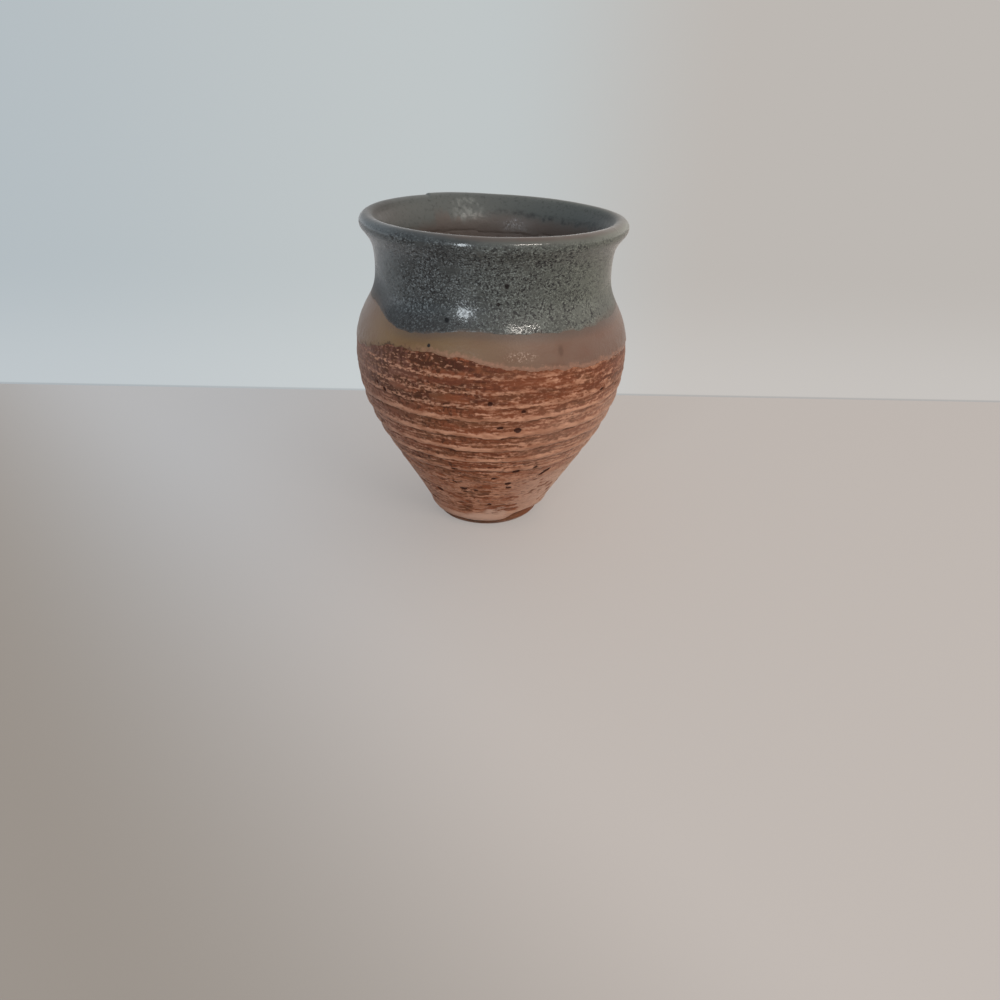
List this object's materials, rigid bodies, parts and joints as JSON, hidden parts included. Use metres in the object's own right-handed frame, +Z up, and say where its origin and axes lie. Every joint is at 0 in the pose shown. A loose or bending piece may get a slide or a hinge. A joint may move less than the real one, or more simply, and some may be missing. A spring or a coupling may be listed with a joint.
{
  "type": "drinking cup",
  "caption": "Wheel-thrown stoneware cup without handles: short foot, ridged conical wall, round shoulder, narrow neck and flared lip, glazed above a sloping dip line.",
  "frame": {"origin": "middle of the flat face of the foot that the cup rests on", "axes": "+Z up the cup's own axis towards the lip; -Y is the side that faces the viewer in the picture; the lower dip line falls towards +X"},
  "size_m": [0.0838, 0.0838, 0.095],
  "materials": {
    "clay": "matte",
    "neck_glaze": "gloss",
    "shoulder_glaze": "satin",
    "liner_glaze": "satin"
  },
  "bodies": {
    "root": {"clay_body": "clay", "neck_glaze": "neck_glaze", "shoulder_glaze": "shoulder_glaze", "liner_glaze": "liner_glaze"}
  },
  "joints": []
}
